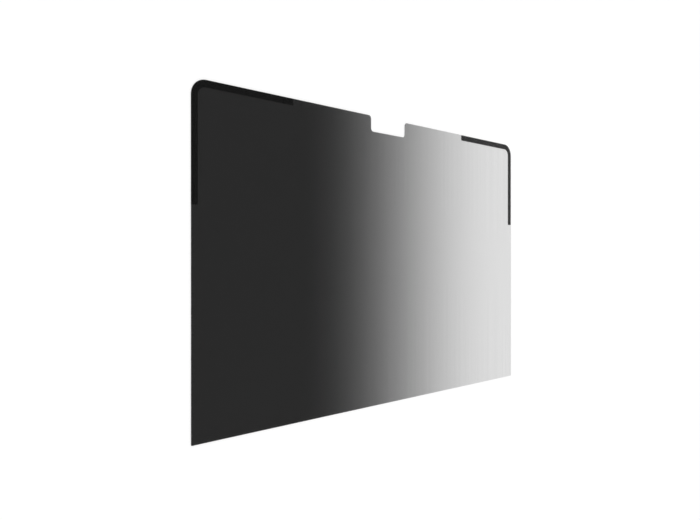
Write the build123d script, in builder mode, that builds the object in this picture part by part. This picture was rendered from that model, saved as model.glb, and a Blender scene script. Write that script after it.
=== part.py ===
# Laptop privacy filter: a thin louvre film cut to the screen, with a notch for the camera
# and an L-shaped magnet strip bonded behind each upper corner.
# X runs along the film's width, Y up its height towards the notch, Z out of its front face.
# The filter lies on its back: the strips rest on Z = 0 and the front face looks up.

import os

from build123d import *

# Film
film_width = 350.0
film_height = 230.0
film_thickness = 0.35
upper_corner_radius = 10.5
lower_corner_radius = 0.6

# Camera notch in the upper edge
notch_width = 39.0
notch_depth = 12.4
notch_mouth_radius = 2.6
notch_floor_radius = 2.5

# Magnet strips behind the upper corners
strip_width = 4.6
strip_thickness = 0.3
strip_edge_gap = 0.1
strip_arm_across = 79.3
strip_arm_down = 79.3
strip_end_radius = 0.5

os.makedirs("parts", exist_ok=True)

# Outline of the film before the notch is cut
with BuildSketch() as plain_outline:
    Rectangle(film_width, film_height)
    fillet(plain_outline.vertices().group_by(Axis.Y)[-1], upper_corner_radius)
    fillet(plain_outline.vertices().group_by(Axis.Y)[0], lower_corner_radius)

# Notch, hung from the middle of the upper edge, with its floor corners eased
with BuildSketch() as camera_notch:
    with Locations((0, film_height / 2)):
        Rectangle(notch_width, notch_depth, align=(Align.CENTER, Align.MAX))
    fillet(camera_notch.vertices().group_by(Axis.Y)[0], notch_floor_radius)

# Film: the outline less the notch, with the two corners of the notch's mouth eased
with BuildPart() as privacy_film:
    with BuildSketch(Plane.XY.offset(strip_thickness)) as film_profile:
        add(plain_outline.sketch)
        add(camera_notch.sketch, mode=Mode.SUBTRACT)
        upper_edge_corners = film_profile.vertices().group_by(Axis.Y)[-1]
        fillet(upper_edge_corners.sort_by(Axis.X)[1:-1], notch_mouth_radius)
    extrude(amount=film_thickness)

# Left strip: a band of even width that follows the outline round the corner,
# cut square at the end of each arm
with BuildPart() as left_magnet_strip:
    with BuildSketch() as strip_profile:
        add(plain_outline.sketch)
        offset(amount=-strip_edge_gap, mode=Mode.REPLACE)
        offset(amount=-strip_width, mode=Mode.SUBTRACT)
        with Locations((-film_width / 2, film_height / 2)):
            Rectangle(strip_arm_across, strip_arm_down, align=(Align.MIN, Align.MAX), mode=Mode.INTERSECT)
        arm_across_end = strip_profile.vertices().group_by(Axis.X)[-1]
        arm_down_end = strip_profile.vertices().group_by(Axis.Y)[0]
        fillet(arm_across_end + arm_down_end, strip_end_radius)
    extrude(amount=strip_thickness)

# Right strip: the left one mirrored about the film's middle
with BuildPart() as right_magnet_strip:
    mirror(left_magnet_strip.part, about=Plane.YZ)

privacy_film.part.label = "privacy_film"
left_magnet_strip.part.label = "left_magnet_strip"
right_magnet_strip.part.label = "right_magnet_strip"

export_step(privacy_film.part, "parts/privacy_film.step")
export_step(left_magnet_strip.part, "parts/left_magnet_strip.step")
export_step(right_magnet_strip.part, "parts/right_magnet_strip.step")
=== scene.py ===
import bpy
import numpy as np
from mathutils import Matrix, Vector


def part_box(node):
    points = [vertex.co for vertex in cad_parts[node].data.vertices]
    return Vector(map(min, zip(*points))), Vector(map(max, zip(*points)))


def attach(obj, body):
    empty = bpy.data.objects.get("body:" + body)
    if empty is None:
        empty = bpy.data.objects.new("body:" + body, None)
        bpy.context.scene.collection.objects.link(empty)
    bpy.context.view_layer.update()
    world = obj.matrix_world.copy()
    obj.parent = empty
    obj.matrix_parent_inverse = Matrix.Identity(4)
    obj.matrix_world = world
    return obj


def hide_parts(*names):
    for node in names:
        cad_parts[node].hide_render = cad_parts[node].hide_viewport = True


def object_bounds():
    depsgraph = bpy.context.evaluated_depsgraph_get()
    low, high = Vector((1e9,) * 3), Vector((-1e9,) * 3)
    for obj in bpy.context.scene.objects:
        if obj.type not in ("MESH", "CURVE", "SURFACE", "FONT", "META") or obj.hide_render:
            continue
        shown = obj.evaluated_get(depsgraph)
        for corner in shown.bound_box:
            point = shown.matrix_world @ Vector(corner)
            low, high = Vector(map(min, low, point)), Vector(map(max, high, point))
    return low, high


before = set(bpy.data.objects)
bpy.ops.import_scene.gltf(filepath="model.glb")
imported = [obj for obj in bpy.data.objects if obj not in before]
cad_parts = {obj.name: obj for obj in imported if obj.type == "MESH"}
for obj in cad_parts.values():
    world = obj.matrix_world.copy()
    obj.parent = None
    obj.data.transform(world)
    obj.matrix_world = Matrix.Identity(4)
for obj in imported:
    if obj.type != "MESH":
        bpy.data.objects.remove(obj)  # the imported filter, lying on its back: X across, Y up the sheet, Z out of its front
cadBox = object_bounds()
print("frame loaded:", ", ".join(sorted(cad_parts)))

mm = 0.001  # one millimetre, in metres


# Outline with eased corners. A right-angled corner becomes a quarter circle of its own radius:
# point(a) = corner + radius * (outgoing * (1 - cos a) - incoming * (1 - sin a)), a from 0 to 90 degrees.
# Outward is the line from the circle's centre, turned round at an inside corner.
def easedOutline(corners, radii, steps):
    corners = np.array(corners, float)[:, None, :]
    radii = np.array(radii, float)[:, None, None]
    incoming = corners - np.roll(corners, 1, axis=0)
    incoming /= np.linalg.norm(incoming, axis=2, keepdims=True)
    outgoing = np.roll(incoming, -1, axis=0)
    turn = np.sign(incoming[..., :1] * outgoing[..., 1:] - incoming[..., 1:] * outgoing[..., :1])
    angle = np.linspace(0, np.pi / 2, steps)[None, :, None]
    points = corners + radii * (outgoing * (1 - np.cos(angle)) - incoming * (1 - np.sin(angle)))
    outward = turn * (incoming * np.sin(angle) - outgoing * np.cos(angle))
    return points.reshape(-1, 2), outward.reshape(-1, 2)


# Edge profile of a cut sheet, from the upper cap round to the lower one: a flat land, a quarter-round lip,
# the cut wall, a second lip and a second land. Each point has its distance in from the outline
# and its height.
def edgeProfile(low, high, lip, land, steps):
    angle = np.linspace(0, np.pi / 2, steps)
    inset = np.r_[land, lip * (1 - np.sin(angle)), lip * (1 - np.cos(angle)), land]
    height = np.r_[high, high - lip * (1 - np.cos(angle)), low + lip * (1 - np.sin(angle)), low]
    return inset, height


# Flat piece: the edge profile carried round the outline, place(u, v) = outline(u) - outward(u) * inset(v)
# at height(v), with a flat cap inside the first and the last ring. The attribute cutEdge is the sine
# of the turn from flat: 0 on the faces, rising over the lip, 1 on the cut wall.
def flatPiece(name, outline, outward, inset, height, lip):
    rings, around = len(inset), len(outline)
    flat = outline[None] - outward[None] * inset[:, None, None]
    upright = np.broadcast_to(height[:, None, None], (rings, around, 1))
    places = np.concatenate([flat, upright], axis=2).reshape(-1, 3)
    index = np.arange(rings * around).reshape(rings, around)
    onward = np.roll(index, -1, axis=1)
    quads = np.stack([index[:-1], index[1:], onward[1:], onward[:-1]], axis=2).reshape(-1, 4)
    caps = [index[0].tolist(), index[-1][::-1].tolist()]
    mesh = bpy.data.meshes.new(name)
    mesh.from_pydata(places.tolist(), [], quads.tolist() + caps)
    mesh.polygons.foreach_set("use_smooth", np.ones(len(mesh.polygons), bool))
    turned = np.repeat(np.clip(1 - inset / lip, 0, 1), around)
    mesh.attributes.new("cutEdge", "FLOAT", "POINT").data.foreach_set("value", turned)
    mesh.update()
    piece = bpy.data.objects.new(name, mesh)
    bpy.context.scene.collection.objects.link(piece)
    return piece


# Gives a piece its finish and lets it stand for its solid
def dress(piece, material, node):
    piece.data.materials.append(material)
    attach(piece, "root")
    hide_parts(node)
    print(piece.name + ":", len(piece.data.polygons), "faces")


# Material with nothing in its tree but the output and one Principled shader
def newMaterial(name):
    material = bpy.data.materials.new(name)
    material.use_nodes = True
    tree = material.node_tree
    return material, tree, tree.nodes["Principled BSDF"]


# One node, its settings and inputs given by name. An input is a number, a colour or another node's output.
def addNode(tree, kind, inputs=None, **settings):
    node = tree.nodes.new(kind)
    for key, value in settings.items():
        setattr(node, key, value)
    for key, value in (inputs or {}).items():
        if isinstance(value, bpy.types.NodeSocket):
            tree.links.new(value, node.inputs[key])
        else:
            node.inputs[key].default_value = value
    return node


# Two numbers or outputs put together by the named operation
def combine(tree, operation, first, second):
    return addNode(tree, "ShaderNodeMath", {0: first, 1: second}, operation=operation).outputs[0]


# A value from 0 to 1 turned into one between two numbers
def between(tree, value, low, high, **settings):
    inputs = {"Value": value, "To Min": low, "To Max": high}
    return addNode(tree, "ShaderNodeMapRange", inputs, **settings).outputs["Result"]


# Soft noise from 0 to 1, so many cells to a unit; fineness is the weight of each finer layer of detail
def noise(tree, place, cells, detail, fineness=0.5):
    inputs = {"Vector": place, "Scale": cells, "Detail": detail, "Roughness": fineness}
    return addNode(tree, "ShaderNodeTexNoise", inputs).outputs["Fac"]


# Grain of a surface: one noise drives the gloss and a bump of the grain's depth
def grainSurface(tree, shader, coord, piece):
    grain = noise(tree, coord, piece["grainPerMetre"], piece["grainDetail"])
    gloss = between(tree, grain, *piece["roughness"])
    tree.links.new(gloss, shader.inputs["Roughness"])
    inputs = {"Height": grain, "Strength": piece["grainStrength"], "Distance": piece["grainDepth"]}
    bump = addNode(tree, "ShaderNodeBump", inputs).outputs["Normal"]
    tree.links.new(bump, shader.inputs["Normal"])
    return grain


# Louvre film: one die-cut sheet, nearly black and almost opaque on the left, clearing to the right
film = dict(
    node="privacy_film",
    slot="louvre_film",
    upperRadius=10.5 * mm,
    lowerRadius=0.6 * mm,
    notchWidth=39.0 * mm,
    notchDepth=12.4 * mm,
    mouthRadius=2.6 * mm,
    floorRadius=2.5 * mm,
    lip=0.08 * mm,  # rounding left by the cutting die
    land=0.4 * mm,  # flat rim that keeps the lip's shading off the face
    cornerSteps=25,
    lipSteps=6,
    tint=(0.0066, 0.0066, 0.0066, 1),
    specular=0.061,  # anti-glare coat: a weak mirror
    roughness=(0.26, 0.34),  # from the hollows of the grain to its tops
    denseLight=0.094,  # share of light that goes through, on the left
    clearLight=0.836,  # and on the right
    fadeFrom=-89.9 * mm,  # where the film starts to clear
    fadeTo=191.6 * mm,  # where it would be clear, past the right edge
    fadeEase=0.688,  # under 1: clears sooner and settles longer
    facePower=0.5,  # two faces share the loss, so each passes the square root
    edgePower=1.5,  # the cut edge, where the louvres stand behind each other, passes the cube of that
    streakDepth=0.09,  # how unevenly the louvres let light through
    streaksPerMetre=(900, 1.5, 1.0),  # close together across the sheet, long up it
    streakDetail=3,
    streakFineness=0.75,
    grainPerMetre=9000,  # tooth of the anti-glare coat
    grainDetail=2,
    grainDepth=0.004 * mm,
    grainStrength=0.25,
)


def filmMaterial():
    material, tree, shader = newMaterial("louvreFilm")
    coord = addNode(tree, "ShaderNodeTexCoord").outputs["Object"]

    # light = dense + (clear - dense) * smootherstep(share of the fade's length ** ease)
    across = addNode(tree, "ShaderNodeSeparateXYZ", {"Vector": coord}).outputs["X"]
    fadeEnds = {"Value": across, "From Min": film["fadeFrom"], "From Max": film["fadeTo"]}
    share = addNode(tree, "ShaderNodeMapRange", fadeEnds).outputs["Result"]
    eased = combine(tree, "POWER", share, film["fadeEase"])
    light = between(tree, eased, film["denseLight"], film["clearLight"], interpolation_type="SMOOTHERSTEP")

    # uneven light = light * (1 + depth * streak), streak from -1 to 1 in long upright lines;
    # the stretch sets the size of the noise, so it has one cell to a unit
    stretch = {"Vector": coord, "Scale": film["streaksPerMetre"]}
    stretched = addNode(tree, "ShaderNodeMapping", stretch).outputs["Vector"]
    streak = noise(tree, stretched, 1.0, film["streakDetail"], film["streakFineness"])
    swing = between(tree, streak, 1 - film["streakDepth"], 1 + film["streakDepth"])
    uneven = combine(tree, "MULTIPLY", light, swing)

    # what each face holds back = 1 - uneven light ** power
    cut = addNode(tree, "ShaderNodeAttribute", attribute_name="cutEdge").outputs["Fac"]
    power = between(tree, cut, film["facePower"], film["edgePower"])
    passed = combine(tree, "POWER", uneven, power)
    held = combine(tree, "SUBTRACT", 1.0, passed)
    tree.links.new(held, shader.inputs["Alpha"])

    grainSurface(tree, shader, coord, film)
    shader.inputs["Base Color"].default_value = film["tint"]
    shader.inputs["Specular IOR Level"].default_value = film["specular"]
    return material


# Film outline, anticlockwise from the lower left corner, down into the notch and out again
def makeFilm():
    low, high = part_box(film["node"])
    halfNotch = film["notchWidth"] / 2
    notchFloor = high.y - film["notchDepth"]
    corners = [(low.x, low.y), (high.x, low.y), (high.x, high.y), (halfNotch, high.y),
               (halfNotch, notchFloor), (-halfNotch, notchFloor), (-halfNotch, high.y), (low.x, high.y)]
    radii = [film["lowerRadius"], film["lowerRadius"], film["upperRadius"], film["mouthRadius"],
             film["floorRadius"], film["floorRadius"], film["mouthRadius"], film["upperRadius"]]
    outline, outward = easedOutline(corners, radii, film["cornerSteps"])
    inset, height = edgeProfile(low.z, high.z, film["lip"], film["land"], film["lipSteps"])
    piece = flatPiece("louvreFilm", outline, outward, inset, height, film["lip"])
    dress(piece, filmMaterial(), film["node"])


# Magnet strips: a flat L of flexible magnet behind each upper corner of the film
strip = dict(
    nodes={"leftMagnetStrip": "left_magnet_strip", "rightMagnetStrip": "right_magnet_strip"},
    slot="magnet_strip",
    width=4.6 * mm,
    endRadius=0.5 * mm,
    glue=0.01 * mm,  # keeps the strip's upper face just clear of the film's underside
    lip=0.05 * mm,
    land=0.2 * mm,
    cornerSteps=25,
    lipSteps=5,
    dark=(0.016, 0.016, 0.016, 1),
    pale=(0.058, 0.058, 0.058, 1),
    specular=0.2,
    roughness=(0.78, 0.62),  # from the dark grains to the pale ones, which are glossier
    grainPerMetre=2600,  # powdered magnet in rubber
    grainDetail=4,
    grainDepth=0.03 * mm,
    grainStrength=0.5,
)


# Mottled charcoal: the grain of the surface gives its shade too
def stripMaterial():
    material, tree, shader = newMaterial("magnetStrip")
    coord = addNode(tree, "ShaderNodeTexCoord").outputs["Object"]
    grain = grainSurface(tree, shader, coord, strip)
    shades = {"Factor": grain, "A": strip["dark"], "B": strip["pale"]}
    shade = addNode(tree, "ShaderNodeMix", shades, data_type="RGBA").outputs["Result"]
    tree.links.new(shade, shader.inputs["Base Color"])
    shader.inputs["Specular IOR Level"].default_value = strip["specular"]
    return material


# L outline of the left strip, anticlockwise from the foot of its upright arm; the right one mirrors it.
# Its corner shares the centre of the film's: outer radius = film's radius - set-back, inner = outer - width.
def stripOutline(low, high, side):
    outer, inner = (low.x, high.x) if side < 0 else (high.x, low.x)
    arm = outer - side * strip["width"]
    shelf = high.y - strip["width"]
    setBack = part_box(film["node"])[1].y - high.y
    outerRadius = film["upperRadius"] - setBack
    innerRadius = outerRadius - strip["width"]
    endRadius = strip["endRadius"]
    corners = [(outer, low.y), (arm, low.y), (arm, shelf), (inner, shelf), (inner, high.y), (outer, high.y)]
    radii = [endRadius, endRadius, innerRadius, endRadius, endRadius, outerRadius]
    return (corners, radii) if side < 0 else (corners[::-1], radii[::-1])


def makeStrips():
    material = stripMaterial()
    for name, node in strip["nodes"].items():
        low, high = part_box(node)
        corners, radii = stripOutline(low, high, np.sign(low.x + high.x))
        outline, outward = easedOutline(corners, radii, strip["cornerSteps"])
        top = high.z - strip["glue"]
        inset, height = edgeProfile(low.z, top, strip["lip"], strip["land"], strip["lipSteps"])
        piece = flatPiece(name, outline, outward, inset, height, strip["lip"])
        dress(piece, material, node)


# White table: a broad pale floor under the filter
table = dict(
    size=12.0,
    drop=0.02 * mm,  # keeps the floor just clear of the strips' undersides
    white=(0.96, 0.96, 0.96, 1),
    lift=0.06,  # added for what the camera sees, so that the bare floor reaches white
)


# 1 for a ray from the camera, a mirror or glass, 0 for light on its way to a surface
def seenRay(tree):
    path = addNode(tree, "ShaderNodeLightPath").outputs
    mirrored = combine(tree, "MAXIMUM", path["Is Glossy Ray"], path["Is Transmission Ray"])
    return combine(tree, "MAXIMUM", path["Is Camera Ray"], mirrored)


# Square floor about the origin, white paint plus the lift for rays that see it
def makeTable():
    half = table["size"] / 2
    height = cadBox[0][2] - table["drop"]
    corners = [(-half, -half, height), (half, -half, height), (half, half, height), (-half, half, height)]
    mesh = bpy.data.meshes.new("whiteTable")
    mesh.from_pydata(corners, [], [(0, 1, 2, 3)])
    floor = bpy.data.objects.new("whiteTable", mesh)
    bpy.context.scene.collection.objects.link(floor)
    material, tree, shader = newMaterial("whiteTable")
    tree.nodes.remove(shader)
    paint = addNode(tree, "ShaderNodeBsdfDiffuse", {"Color": table["white"]}).outputs[0]
    lift = combine(tree, "MULTIPLY", seenRay(tree), table["lift"])
    glow = addNode(tree, "ShaderNodeEmission", {"Strength": lift}).outputs[0]
    both = addNode(tree, "ShaderNodeAddShader", {0: paint, 1: glow}).outputs[0]
    tree.links.new(both, tree.nodes["Material Output"].inputs["Surface"])
    mesh.materials.append(material)
    print("floor laid")


# Pose that looks from one point to another with the sheet's height upright:
# its columns are right, up, back and the point
def aimed(eye, target):
    sheetUp = np.array([0.0, 1.0, 0.0])
    back = (eye - target) / np.linalg.norm(eye - target)
    right = np.cross(sheetUp, back)
    right /= np.linalg.norm(right)
    up = np.cross(back, right)
    pose = np.eye(4)
    pose[:3] = np.stack([right, up, back, eye], axis=1)
    return Matrix(pose.tolist())


# Studio: an even white surround and two broad suns; together they light a level surface at about 1
studio = dict(
    surround=0.5,  # what the surround gives as light
    seen=1.0,  # and how bright it is to look at
    suns=dict(
        keySun=dict(source=(-0.5, 0.35, 0.8), strength=1.64, spread=40),  # spread in degrees
        fillSun=dict(source=(-0.2, -0.8, 0.6), strength=0.45, spread=60),
    ),
)


def lightStudio():
    world = bpy.data.worlds.new("whiteSurround")
    bpy.context.scene.world = world
    world.use_nodes = True
    tree = world.node_tree
    level = between(tree, seenRay(tree), studio["surround"], studio["seen"])
    backdrop = tree.nodes["Background"]
    backdrop.inputs["Color"].default_value = (1, 1, 1, 1)
    tree.links.new(level, backdrop.inputs["Strength"])
    for name, sun in studio["suns"].items():
        light = bpy.data.lights.new(name, "SUN")
        light.energy = sun["strength"]
        light.angle = np.radians(sun["spread"])
        lamp = bpy.data.objects.new(name, light)
        lamp.matrix_world = aimed(np.array(sun["source"]), np.zeros(3))
        bpy.context.scene.collection.objects.link(lamp)
    print("studio lit")


# Camera: left of the sheet and above it
view = dict(
    eye=np.array([-358.90, 1.32, 352.56]) * mm,
    aim=np.array([-42.02, 0.79]) * mm,  # place on the film's front face
    lens=31.780,
    sensor=36.0,
    near=10 * mm,
)


def placeCamera():
    scene = bpy.context.scene
    camera = bpy.data.cameras.new("photoView")
    camera.lens = view["lens"]
    camera.sensor_width = view["sensor"]
    camera.clip_start = view["near"]
    holder = bpy.data.objects.new("photoView", camera)
    target = np.r_[view["aim"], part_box(film["node"])[1].z]
    holder.matrix_world = aimed(view["eye"], target)
    scene.collection.objects.link(holder)
    scene.camera = holder
    scene.view_settings.view_transform = "Standard"
    print("camera placed")


makeFilm()
makeStrips()
makeTable()
lightStudio()
placeCamera()
